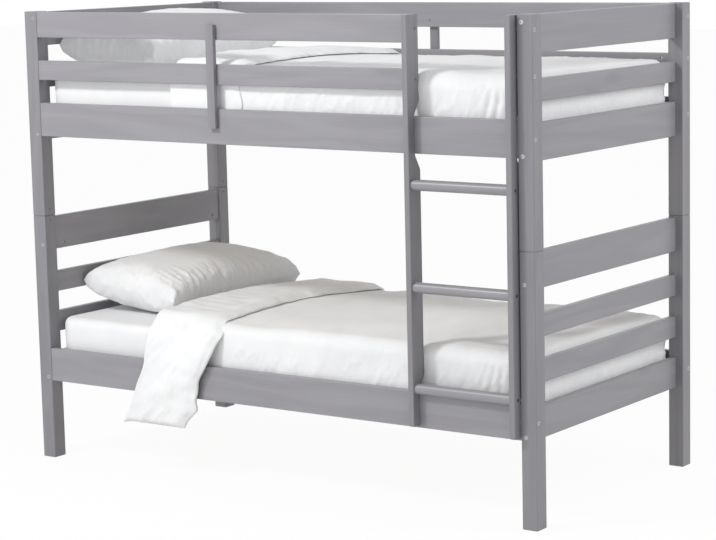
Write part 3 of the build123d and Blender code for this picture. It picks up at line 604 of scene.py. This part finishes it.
# %% Sewn panels
PILLOW_PANEL = (0.49, 0.775)
PILLOW_SIZE = (0.425, 0.726, 0.192)
PILLOW_STEP = 0.0075
RIM_HALF, DOME, UNEVEN, UNEVEN_SEED = 0.0015, 0.012, 0.0002, 5
PRESSURE, FRAMES = 3.2, 28
CLOTH = {"quality": 6, "mass": 0.15, "tension_stiffness": 22, "compression_stiffness": 22,
         "shear_stiffness": 8, "bending_stiffness": 0.06, "air_damping": 4, "use_pressure": True}


def panels():
    """Two flat panels, a little domed, joined by a narrow rim. The dome is a product of two parabolas."""
    half_x, half_y = PILLOW_PANEL[0] / 2, PILLOW_PANEL[1] / 2
    x, y = np.meshgrid(*(steps(-half, half, PILLOW_STEP) for half in (half_x, half_y)), indexing="ij")
    uneven = np.random.default_rng(UNEVEN_SEED).normal(0, UNEVEN, x.shape)
    dome = RIM_HALF + DOME * (1 - (x / half_x) ** 2) * (1 - (y / half_y) ** 2) + uneven
    return shell(np.stack([x, y, dome], -1), np.stack([x, y, -dome], -1))


def blown_up(points, quads, pressure, frames):
    """The panels after Cloth has stretched them over a pressure, as an array of points."""
    bag = mesh_piece("pillow_panels", points, quads, None, None, linen_white)
    cloth = bag.modifiers.new("cloth", "CLOTH")
    for name, value in CLOTH.items():
        setattr(cloth.settings, name, value)
    cloth.settings.uniform_pressure_force = pressure
    cloth.settings.effector_weights.gravity = 0
    cloth.collision_settings.use_collision = False
    cloth.point_cache.frame_start, cloth.point_cache.frame_end = 1, frames
    for number in range(1, frames + 1):
        bpy.context.scene.frame_set(number)
    seen = bag.evaluated_get(bpy.context.evaluated_depsgraph_get())
    made = np.zeros(len(points) * 3, np.float32)
    seen.data.vertices.foreach_get("co", made)
    bpy.context.scene.frame_set(1)
    bpy.data.objects.remove(bag)
    return made.reshape(-1, 3).astype(float)


panel_points, panel_quads = panels()
stuffed = blown_up(panel_points, panel_quads, PRESSURE, FRAMES)
print("pillow blown up to", np.round(np.ptp(stuffed, axis=0), 3), "m from", PILLOW_PANEL)

# %% [markdown]
# The simulated pillow is brought to its real size, leaned back on the head boards and pressed into the
# bed. Pressing is a soft limit: a point that would be below the sheet is moved up to it, and points just
# above give way gradually.

# %% [markdown]
# The simulated pillow has the right form but few of the small gathers that sewing leaves along the seam.
# They are added as creases whose ridges run across the seam, strongest beside it, and pushed along the
# outward direction of an ellipsoid of the pillow's size, which is smooth everywhere.

# %% Gathers
# Length along the seam, length away from it, and seed.
FINE_GATHERS, LONG_GATHERS = (0.030, 0.16, 71), (0.055, 0.30, 72)
END_GATHERS, SLACK = (0.045, 0.22, 73), (0.17, 0.34, 74)
FINE_LEAN, END_LEAN, SLACK_LEAN = 0.15, 0.4, 0.6
END_SHARE, SLACK_SHARE, CREST_LOSS = 0.7, 0.4, 0.6
GATHER = 0.0048


def gathered(points):
    """Pillow points with creases across the seam at the foot side and the ends, fading over the face."""
    x, y, z = points.T
    half_x, half_y, half_z = np.array(PILLOW_SIZE) / 2
    seam = step(x / half_x, 0.05, 0.75) * step(np.abs(z) / half_z, 0.02, 0.25)
    seam = seam * (1 - step(z / half_z, 0.80, 1.0) * CREST_LOSS)
    ends = step(np.abs(y) / half_y, 0.55, 0.95) * END_SHARE
    along_seam = (creases(y + x * FINE_LEAN, x, *FINE_GATHERS) + creases(y, x, *LONG_GATHERS)) * seam
    along_ends = creases(x + y * END_LEAN, y, *END_GATHERS) * ends
    slack = creases(x * SLACK_LEAN + y, x - y, *SLACK) * SLACK_SHARE
    out = points / np.array([half_x, half_y, half_z]) ** 2
    out /= np.linalg.norm(out, axis=1, keepdims=True)
    return points + out * ((along_seam + along_ends + slack) * GATHER)[:, None]


print("gathers up to", GATHER * 1000, "mm high")

# %% Leaned pillows
PILLOW_TILT = {"lower": math.radians(6.5), "upper": math.radians(5)}
PILLOW_TURN = {"lower": 0.0, "upper": math.radians(1.5)}
PILLOW_RISE = {"lower": 0.0, "upper": 0.055}
PILLOW_Y = {"lower": 0.035, "upper": -0.045}
HEAD_BOARD_X, BOARD_GAP = -0.961, 0.003
PLUMP = 0.66
SEAM_SHARE, SEAM_HALF = 0.02, 0.0012
SINK, SHEET_GAP, SHEET_SOFT = 0.022, 0.0012, 0.004


def at_least(value, low, soft):
    """Soft lower limit: level at low and joined to the straight line further up, by a square root."""
    above = value - low
    return low + (above + np.sqrt(above**2 + soft**2)) / 2


def plumped(points):
    """Pillow points at their real size, with a full pillow's round edge.

    Half the distance between the two panels, as a share of the greatest, is raised to a power below one. That
    opens the sharp seam of the simulated panels.
    """
    p = (points - (points.max(0) + points.min(0)) / 2) / np.ptp(points, axis=0) * PILLOW_SIZE
    upper, lower = p[:len(p) // 2, 2], p[len(p) // 2:, 2]
    middle, half = (upper + lower) / 2, (upper - lower) / 2
    room = np.quantile(half, SEAM_SHARE)
    half = SEAM_HALF + PILLOW_SIZE[2] / 2 * (np.maximum(half - room, 0) / (half.max() - room)) ** PLUMP
    p[:, 2] = np.concatenate([middle + half, middle - half])
    return p


def leaned(bed, points):
    """Pillow points raised by a share of y, leaned about y, turned about z and pressed on the sheet."""
    x, y, z = points.T
    lean, turn, top = PILLOW_TILT[bed], PILLOW_TURN[bed], MATTRESS_TOP[bed]
    z = z + PILLOW_RISE[bed] * y
    x, z = x * math.cos(lean) + z * math.sin(lean), z * math.cos(lean) - x * math.sin(lean)
    x, y = x * math.cos(turn) - y * math.sin(turn), x * math.sin(turn) + y * math.cos(turn)
    x = x - x.min() + HEAD_BOARD_X + BOARD_GAP
    z = at_least(z - z.min() + top - SINK, top + SHEET_GAP, SHEET_SOFT)
    return np.column_stack([x, y + PILLOW_Y[bed] + CENTRE_Y, z])


pillows = {}
for bed in MATTRESS_TOP:
    piece = mesh_piece(bed + "_pillow_in_case", leaned(bed, gathered(plumped(stuffed))), panel_quads,
                       bed + "_bedding", "white_cotton", linen_white, 1)
    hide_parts(bed + "_pillow")
    pillows[bed] = piece
print("pillow crest:", round(max(v.co.z for v in pillows["lower"].data.vertices), 3), "m")

# %% [markdown]
# ## Duvets
#
# The duvet is a thin quilt in a cotton cover. It lies over the mattress, is tucked in along both sides
# and at the foot, and its head end is turned down in a broad band. The tucked part is the same cover-
# over-a-block as the mattress, a few millimetres further out, with a second, inner layer that rests on
# the sheet. Where the cloth dives behind the rail it is pushed together, so ridges run up the side and
# fade at the shoulder.

# %% Tucked duvets
DUVET_STEP = 0.0073
DUVET_OUT, DUVET_IN = (0.9575, 0.4715), (0.9495, 0.4600)
DUVET_CORNER, INNER_CORNER, INNER_SHOULDER = 0.053, 0.045, 0.030
DUVET_FOOT_Z, SHEET_LIFT = 0.016, 0.0015
DUVET_LOFT = {"lower": 0.036, "upper": 0.025}
SHOULDER = {"lower": 0.040, "upper": 0.050}
CROWN, CROWN_LOSS = 0.016, 0.8
BACK_FALL = {"lower": 0.018, "upper": 0.007}
FOLD_X = {"lower": -0.510, "upper": -0.395}
BAND, HEAD_INSET = 0.295, 0.045
DUVET_SEEDS = {"lower": 31, "upper": 40}


def duvet_grid(bed):
    """Cloth coordinates of the tucked part: along the bed from the fold to the foot, and right across."""
    fall = DUVET_LOFT[bed] + MATTRESS_THICK - DUVET_FOOT_Z
    length = cover_length(fall, DUVET_CORNER, SHOULDER[bed])
    reach_x, reach_y = (half - DUVET_CORNER + length for half in DUVET_OUT)
    along = steps(FOLD_X[bed] + HEAD_INSET, reach_x, DUVET_STEP)
    return np.meshgrid(along, steps(-reach_y, reach_y, DUVET_STEP), indexing="ij")


def crown(x, y):
    """Height that the stuffing adds in the middle of the top, less near the sides and the foot."""
    return CROWN * (1 - (y / DUVET_OUT[1]) ** 2) * (1 - step(x, 0.45, 0.95) * CROWN_LOSS)


def duvet_top(bed, x, y):
    """Level of the duvet's upper face away from the shoulders."""
    return MATTRESS_TOP[bed] + DUVET_LOFT[bed] + crown(x, y) - BACK_FALL[bed] * step(y, -0.1, 0.44)


print("duvet crest:", round(float(duvet_top("lower", 0.0, 0.0)), 3), "m")

# %% [markdown]
# A tucked duvet shows four kinds of relief: broad swells where the stuffing lies, pulls that slant
# towards the tuck, ridges down the sides, and a fan of pleats at each foot corner. Each is a sum of waves
# or creases of its own size, and steps fade them in and out, so the top stays calm and nothing rises
# where the duvet is pressed in.

# %% Relief of a tucked duvet
# Two lengths and a height for each of the patterns.
SWELLS = ((0.55, 0.42, 0.0024), (0.21, 0.26, 0.0011))
PULL, BROAD_RIDGE, FINE_RIDGE = (0.11, 0.55, 0.0016), (0.085, 0.32, 0.0032), (0.040, 0.14, 0.0018)
PULL_LEAN, BROAD_LEAN, FINE_LEAN = 0.25, 0.5, -0.3
RIDGE_SINK = 0.0035
FAN_X, FAN_SPREAD, FAN_TURNS, PLEAT = 0.900, 0.09, 20.0, 0.010
LIFT_TOP, LIFT_SIDE = 0.006, 0.0008


def duvet_relief(bed, s, t, x, d, seed):
    """Waves and pulls on the top, ridges down the sides, and a fan of pleats at the foot corners."""
    side = step(d, 0.02, d.max() * 0.75)
    around = np.where(np.abs(t) > DUVET_OUT[1] - DUVET_CORNER, s, t)
    free = step(x, FOLD_X[bed] + BAND - 0.03, FOLD_X[bed] + BAND + 0.10)
    pulls = creases(s + t * PULL_LEAN, t, *PULL[:2], seed + 2) * PULL[2] * step(np.abs(t), 0.15, 0.46)
    ridges = creases(around + d * BROAD_LEAN, d, *BROAD_RIDGE[:2], seed + 3) * BROAD_RIDGE[2]
    ridges += creases(around + d * FINE_LEAN, d, *FINE_RIDGE[:2], seed + 4) * FINE_RIDGE[2]
    corner = step(s, FAN_X - 0.13, FAN_X - 0.05) * step(np.abs(t), 0.36, 0.42) * step(d, 0.035, 0.10)
    pleats = (1 - np.abs(np.sin((s - FAN_X) / (FAN_SPREAD + d) * FAN_TURNS))) ** 2 * PLEAT * corner
    lift = (swells(s, t, SWELLS, seed) * (1 - side) + pulls * (1 - side * 0.7)) * free
    lift += (ridges - RIDGE_SINK) * side * free - pleats * side
    return np.minimum(lift, LIFT_TOP * (1 - side) + LIFT_SIDE)


def tucked_duvet(bed, seed):
    """Outer layer with its relief, and a plain inner one that rests on the sheet."""
    s, t = duvet_grid(bed)
    x, y, down, d = cover(s, t, DUVET_OUT, DUVET_CORNER, SHOULDER[bed])
    points = np.stack([x, y + CENTRE_Y, duvet_top(bed, x, y) - down], -1)
    points = points + normals(points) * duvet_relief(bed, s, t, x, d, seed)[..., None]
    in_x, in_y, in_down, _ = cover(s, t, DUVET_IN, INNER_CORNER, INNER_SHOULDER)
    lowest = MATTRESS_FOOT[bed] + DUVET_FOOT_Z - 0.002
    in_z = np.maximum(MATTRESS_TOP[bed] + SHEET_LIFT - in_down, lowest)
    piece = mesh_piece(bed + "_duvet_tucked", *shell(points, np.stack([in_x, in_y + CENTRE_Y, in_z], -1)),
                       bed + "_bedding", "white_cotton", linen_white)
    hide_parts(bed + "_duvet")
    return piece


duvets = {bed: tucked_duvet(bed, seed) for bed, seed in DUVET_SEEDS.items()}
print("faces of a duvet:", len(duvets["lower"].data.polygons))

# %% [markdown]
# ## Turned-down bands
#
# The head end of each duvet is folded back on itself. Seen along the bed's width, the band is a thick
# strip that follows the duvet's own outline: up from the back rail, over the crown and down at the front.
# On the lower bed its front corner isn't tucked in but hangs outside the rail. Across the strip, the
# section is a letter J on its side: a thin stitched hem at the right, the full stuffing in the middle,
# and a round fold at the left that wraps the duvet's own end.

# %% Path of a band
BAND_THICK, TUCK_THICK, TAIL_THICK = 0.020, 0.0042, 0.0185
SECTION_COUNT = 12
HEM_LIFT = 0.003
BAND_SEEDS = {"lower": 51, "upper": 62}
PATH_STEP = 0.0045
# The hanging tail: its line in y and z over the rail and down, and its edges in x at some levels.
TAIL_LINE = ((-0.464, 0.506), (-0.490, 0.466), (-0.506, 0.424), (-0.512, 0.385), (-0.513, 0.330),
             (-0.511, 0.250), (-0.508, 0.172))
TAIL_LEVELS = (0.165, 0.182, 0.240, 0.268, 0.336, 0.392, 0.440, 0.492, 0.54)
TAIL_LEFT = (-0.612, -0.604, -0.573, -0.562, -0.532, -0.510, -0.506, -0.508, -0.510)
TAIL_RIGHT = (-0.356, -0.343, -0.296, -0.297, -0.281, -0.255, -0.232, -0.212, -0.215)


def evenly(points, size):
    """The same line with points that are evenly spaced, by straight runs between close points."""
    along = np.concatenate([[0], np.cumsum(np.linalg.norm(np.diff(points, axis=0), axis=1))])
    at = steps(0, along[-1], size)
    return np.stack([np.interp(at, along, points[:, k]) for k in range(points.shape[1])], -1), at


def rounded(points, turns):
    """A line with its corners cut in half again and again, which rounds them off towards a smooth curve."""
    for _ in range(turns):
        a, b = points[:-1], points[1:]
        cut = np.stack([a * 0.75 + b * 0.25, a * 0.25 + b * 0.75], 1).reshape(-1, points.shape[1])
        points = np.concatenate([points[:1], cut, points[-1:]])
    return points


def band_path(bed):
    """Line in y and z under the band, from the front tuck, or the end of the tail, over to the back tuck."""
    fall = DUVET_LOFT[bed] + MATTRESS_THICK - DUVET_FOOT_Z - 0.012
    reach = DUVET_OUT[1] - DUVET_CORNER + cover_length(fall, DUVET_CORNER, SHOULDER[bed])
    t = -steps(-reach, reach, PATH_STEP)
    _, y, down, _ = cover(np.zeros_like(t), t, DUVET_OUT, DUVET_CORNER, SHOULDER[bed])
    line = np.column_stack([y, duvet_top(bed, np.full_like(t, FOLD_X[bed] + BAND / 2), y) - down])
    if bed == "lower":
        kept = line[(line[:, 0] > -0.425) | (line[:, 1] > 0.53)]
        line = np.concatenate([kept[:-1], rounded(np.concatenate([kept[-1:], TAIL_LINE]), 4)])
    return evenly(line[::-1], DUVET_STEP)


print("lower band:", round(band_path("lower")[1][-1], 3), "m from tuck to tail")


# %% [markdown]
# The strip could be a flat sheet with thickness added, but then its turned edge would be a thin line. A
# section carried along the path gives the full round fold, and lets thickness and fold shrink where the
# strip is tucked in.

# %% Section of a band
def band_section(width, thick, fold, count):
    """Outer and inner halves of the J at every place along the strip: distance from the hem, and height.

    The outer half runs from the hem over the top and round a half circle whose diameter is thick + fold. The
    inner half runs under it and round the smaller half circle of diameter fold.
    """
    flat, turn = np.linspace(0, 1, count * 3), np.linspace(0, math.pi, count)[1:]
    width, thick, fold = width[:, None], thick[:, None], fold[:, None]
    big, small = (thick + fold) / 2, fold / 2
    top_run, low_run = width - big, width - thick - small
    outer = [np.hstack([flat * top_run, top_run + big * np.sin(turn)]),
             np.hstack([flat * 0 + thick, thick - big * (1 - np.cos(turn))])]
    inner = [np.hstack([flat * low_run, low_run + small * np.sin(turn)]),
             np.hstack([flat * low_run * 0, -small * (1 - np.cos(turn))])]
    return outer, inner


def band_tucks(bed, y, z):
    """How far the strip is tucked in and how far it hangs outside the rail, each 0 to 1 along its path."""
    deep = step(MATTRESS_TOP[bed] - z, -0.040, 0.035)
    if bed == "lower":
        return deep * (y > 0), step(-y, 0.40, 0.49)
    return deep, np.zeros_like(y)


def band_edges(bed, y, z, along, seed):
    """Left and right edges in x along the path: straight, but for the tail, and a little wavy."""
    left, right = np.full_like(y, FOLD_X[bed]), np.full_like(y, FOLD_X[bed] + BAND)
    if bed == "lower":
        left = np.where(y < 0, np.interp(z, TAIL_LEVELS, TAIL_LEFT), left)
        right = np.where(y < 0, np.interp(z, TAIL_LEVELS, TAIL_RIGHT), right)
    left = left + swells(along, along * 0, [(0.16, 1.0, 0.0022)], seed)
    return left, right + swells(along, along * 0, [(0.11, 1.0, 0.0028)], seed + 1)


print("tail is", round(TAIL_RIGHT[0] - TAIL_LEFT[0], 3), "m wide at its end")

# %% [markdown]
# The band's own relief follows how it lies: soft swells on top, fine gathers along the stitched hem,
# folds where the hanging corner bends over the mattress edge, and shallow flutes down the corner's free
# length.

# %% Relief of a band
BAND_SWELLS = ((0.30, 0.30, 0.0026), (0.12, 0.20, 0.0013))
BAND_FOLD, BAND_GATHER, BAND_FLUTE = (0.10, 0.45, 0.0050), (0.030, 0.12, 0.0022), (0.075, 0.6, 0.0032)
FOLD_LEAN, FOLD_REACH, GATHER_REACH = 0.45, 0.10, 0.055
DRAPE_Z = 0.45
LIFT_ENDS = (-0.006, 0.005)


def band_relief(bed, y, z, along, distance, outside, seed):
    """Swells everywhere, gathers along the hem, and on the tail folds at the shoulder and flutes below."""
    a, b = np.broadcast_to(along[:, None], distance.shape), distance
    lift = swells(a, b, BAND_SWELLS, seed + 2)
    near_hem = 1 - step(b, 0.0, GATHER_REACH)
    lift = lift + creases(a, b, *BAND_GATHER[:2], seed + 5) * BAND_GATHER[2] * near_hem
    if bed == "lower":
        drape = bell(a, along[np.argmin(np.abs(z - DRAPE_Z) + 9 * (y > 0))], FOLD_REACH)
        lift = lift + creases(b + a * FOLD_LEAN, a, *BAND_FOLD[:2], seed + 4) * BAND_FOLD[2] * drape
        lift = lift + creases(b, a, *BAND_FLUTE[:2], seed + 6) * BAND_FLUTE[2] * outside[:, None]
    return lift


print("folds at the tail's shoulder:", BAND_FOLD[2] * 1000, "mm high")

# %% Band
HEM_SHARE, HEM_WIDTH = 0.25, 0.040
END_SHARE, END_LENGTH = 0.35, 0.016
TOP_SHARE, UNDER_LIFT = 0.74, 0.4
FOLD_SLACK, FOLD_LEAST, TUCK_FOLD = 0.004, 0.0002, 0.009


def band(bed, seed):
    """The J section carried along the path, with its width, thickness and fold changing on the way."""
    line, along = band_path(bed)
    slope = np.gradient(line, axis=0)
    slope /= np.linalg.norm(slope, axis=1, keepdims=True)
    up = np.column_stack([slope[:, 1], -slope[:, 0]])
    up *= np.sign(up[:, 1].mean())
    high_up = step(line[:, 1], MATTRESS_FOOT[bed] + 0.10, MATTRESS_FOOT[bed] + 0.16)
    line = line + up * HEM_LIFT * high_up[:, None]
    y, z = line.T
    tucked, outside = band_tucks(bed, y, z)
    left, right = band_edges(bed, y, z, along, seed)
    thick = BAND_THICK * (1 - tucked) + TUCK_THICK * tucked
    thick = thick * (1 - outside) + TAIL_THICK * outside
    fold = (DUVET_LOFT[bed] + crown(left, y) - FOLD_SLACK) * (1 - tucked) * (1 - outside)
    fold = fold + FOLD_LEAST + tucked * TUCK_FOLD
    outer, inner = (np.stack([right[:, None] - back, y[:, None] + up[:, :1] * high,
                              z[:, None] + up[:, 1:] * high], -1)
                    for back, high in band_section(right - left, thick, fold, SECTION_COUNT))
    on_top = np.linspace(0, 1, outer.shape[1])[None, :] < TOP_SHARE
    distance = right[:, None] - outer[..., 0]
    ends = np.minimum(along, along[-1] - along)[:, None]
    plump = step(distance, -0.004, HEM_WIDTH) * (1 - HEM_SHARE) + HEM_SHARE
    plump = plump * (END_SHARE + (1 - END_SHARE) * np.sqrt(np.clip(ends / END_LENGTH, 0, 1)))
    outer = outer + (inner - outer) * np.where(on_top, 1 - plump, 0)[..., None]
    lift = band_relief(bed, y, z, along, distance, outside, seed)
    lift = lift * (1 - tucked)[:, None] * np.where(on_top, 1.0, UNDER_LIFT)
    outer = outer + normals(outer) * np.clip(lift, *LIFT_ENDS)[..., None]
    points, quads = shell(outer, inner)
    points[:, 1] += CENTRE_Y
    piece = mesh_piece(bed + "_duvet_turned_down", points, quads, bed + "_bedding", "white_cotton", linen_white)
    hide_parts(bed + "_duvet")
    return piece


bands = {bed: band(bed, seed) for bed, seed in BAND_SEEDS.items()}
print("band faces:", len(bands["lower"].data.polygons))

# %% [markdown]
# ## Floor, light and background
#
# The bed stands in a white studio. The floor is pale and keeps a faint shadow, and for the camera it is
# lifted towards white with an Is Camera Ray mix. The world is white too, but lights the bed at about six
# tenths of its strength. The shadows in the picture are sharp and fan out to the right, so the key is a
# small lamp close by, above the front left. A broad lamp in front fills the shade under the upper bed,
# and another one lights the right end.

# %% Floor
FLOOR_SIZE, FLOOR_GREY, FLOOR_ROUGH, FLOOR_LIFT = 60, 0.86, 0.9, 0.94
WHITE = (1, 1, 1, 1)


def seen_or_mirrored(rays):
    """1 for a ray from the camera or off something glossy, from a Light Path node."""
    return rays.maths("MAXIMUM", Wire(rays.tree, rays.socket.node.outputs["Is Glossy Ray"]))


bpy.ops.mesh.primitive_plane_add(size=FLOOR_SIZE)
floor = bpy.context.object
floor.name = "studio_floor"
floor_material, floor_wire, floor_shader = new_material("studio_floor")
fixed(floor_shader, {"Base Color": (FLOOR_GREY, FLOOR_GREY, FLOOR_GREY, 1), "Roughness": FLOOR_ROUGH})
lift = seen_or_mirrored(floor_wire.make("LightPath")) * FLOOR_LIFT
white = floor_wire.make("Emission", None, {"Color": WHITE, "Strength": 1.0})
plain = Wire(floor_wire.tree, floor_shader.outputs[0])
mixed = floor_wire.make("MixShader", None, {0: lift, 1: plain, 2: white})
floor_output = floor_material.node_tree.nodes["Material Output"]
floor_wire.tree.links.new(mixed.socket, floor_output.inputs["Surface"])
floor.data.materials.append(floor_material)
print("floor:", tuple(round(v) for v in floor.dimensions))

# %% World and lamps
AMBIENT = 0.62
world = bpy.data.worlds.new("studio")
bpy.context.scene.world = world
world.use_nodes = True
sky = Wire(world.node_tree)
rays = sky.make("LightPath")
straight = seen_or_mirrored(rays)
straight = straight.maths("MAXIMUM", Wire(rays.tree, rays.socket.node.outputs["Is Transmission Ray"]))
background = world.node_tree.nodes["Background"]
background.inputs["Color"].default_value = WHITE
sky.tree.links.new((straight * (1 - AMBIENT) + AMBIENT).socket, background.inputs["Strength"])
bpy.context.scene.view_settings.view_transform = "Standard"


def lamp(name, kind, at, towards, energy, **settings):
    """A lamp at a place, turned to look at another."""
    data = bpy.data.lights.new(name, kind)
    data.energy = energy
    for key, value in settings.items():
        setattr(data, key, value)
    made = bpy.data.objects.new(name, data)
    made.location = at
    made.rotation_euler = (Vector(towards) - Vector(at)).to_track_quat("-Z", "Y").to_euler()
    bpy.context.scene.collection.objects.link(made)
    return made


BED_MIDDLE = (0, 0, 0.8)
key = lamp("key", "AREA", (-1.15, -2.86, 3.35), BED_MIDDLE, 70, size=0.5)
fill = lamp("fill", "AREA", (-0.4, -5.4, 1.9), BED_MIDDLE, 42, size=3.0)
side = lamp("side", "AREA", (3.6, 0.2, 2.8), BED_MIDDLE, 44, size=1.8)
print("lamps:", {made.name: made.data.energy for made in (key, fill, side)})
